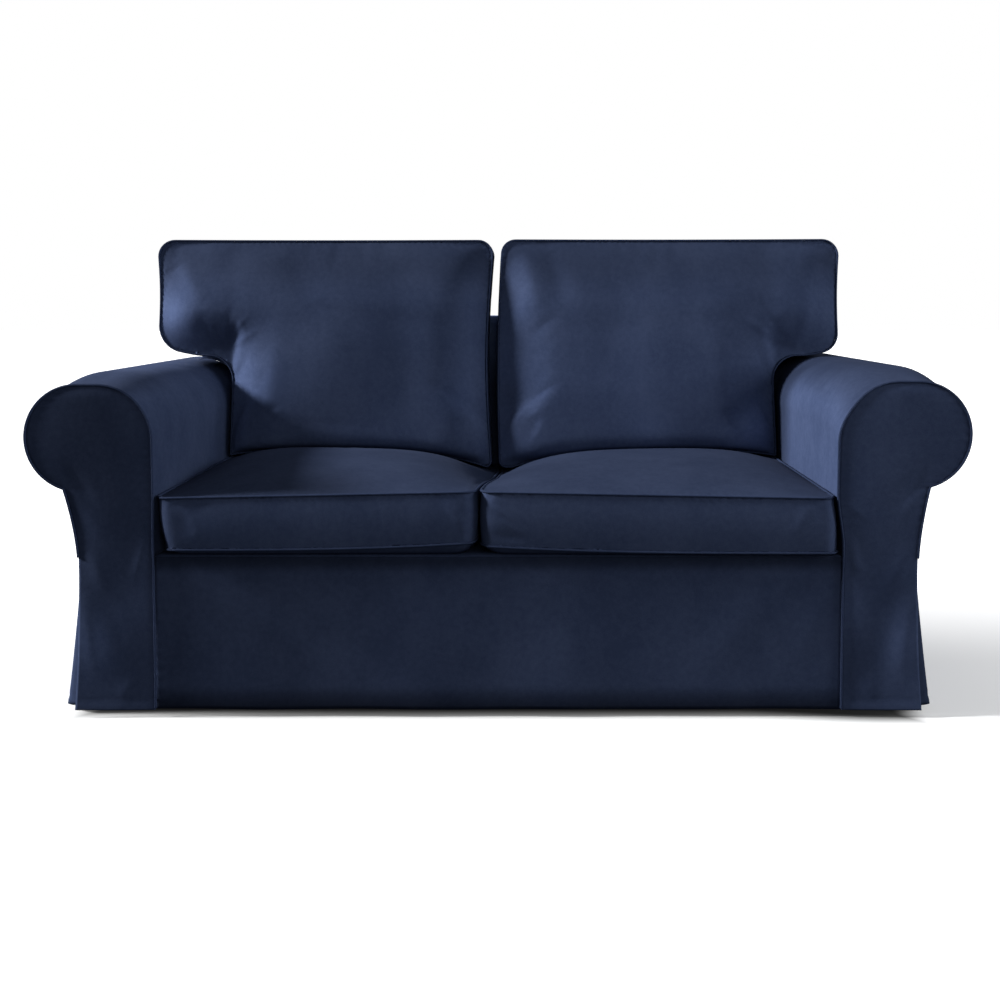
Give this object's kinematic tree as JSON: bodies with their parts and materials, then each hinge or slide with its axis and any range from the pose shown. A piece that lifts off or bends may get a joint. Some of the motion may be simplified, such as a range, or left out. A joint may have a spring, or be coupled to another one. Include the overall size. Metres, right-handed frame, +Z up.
{
  "type": "sofa slipcover with cushions",
  "caption": "Fitted velvet cover with a skirt to the floor for a sofa with rolled arms, with filled seat cushions and back cushions that lap over the arms.",
  "frame": {"origin": "on the floor line, under the middle of the cover", "axes": "+X to the right as seen from the front, +Y to the rear, +Z up"},
  "size_m": [1.8002, 0.9006, 0.9308],
  "materials": {
    "cover_velvet": "navy short-pile velvet, matt with a soft sheen",
    "cushion_velvet": "navy short-pile velvet, matt with a soft sheen, over filled cushions",
    "piping_velvet": "navy velvet piping"
  },
  "bodies": {
    "root": {"seat_deck": "cover_velvet", "front_panel": "cover_velvet", "inside_back": "cover_velvet", "outside_back": "cover_velvet", "arm_front_left": "cover_velvet", "arm_inner_left": "cover_velvet", "arm_outer_left": "cover_velvet", "back_side_left": "cover_velvet", "piping_arm_left": "piping_velvet", "seat_cushion_left": "cushion_velvet", "back_cushion_left": "cushion_velvet", "piping_seat_top_left": "piping_velvet", "piping_seat_base_left": "piping_velvet", "piping_back_front_left": "piping_velvet", "piping_back_rear_left": "piping_velvet", "arm_front_right": "cover_velvet", "arm_inner_right": "cover_velvet", "arm_outer_right": "cover_velvet", "back_side_right": "cover_velvet", "piping_arm_right": "piping_velvet", "seat_cushion_right": "cushion_velvet", "back_cushion_right": "cushion_velvet", "piping_seat_top_right": "piping_velvet", "piping_seat_base_right": "piping_velvet", "piping_back_front_right": "piping_velvet", "piping_back_rear_right": "piping_velvet"}
  },
  "joints": []
}
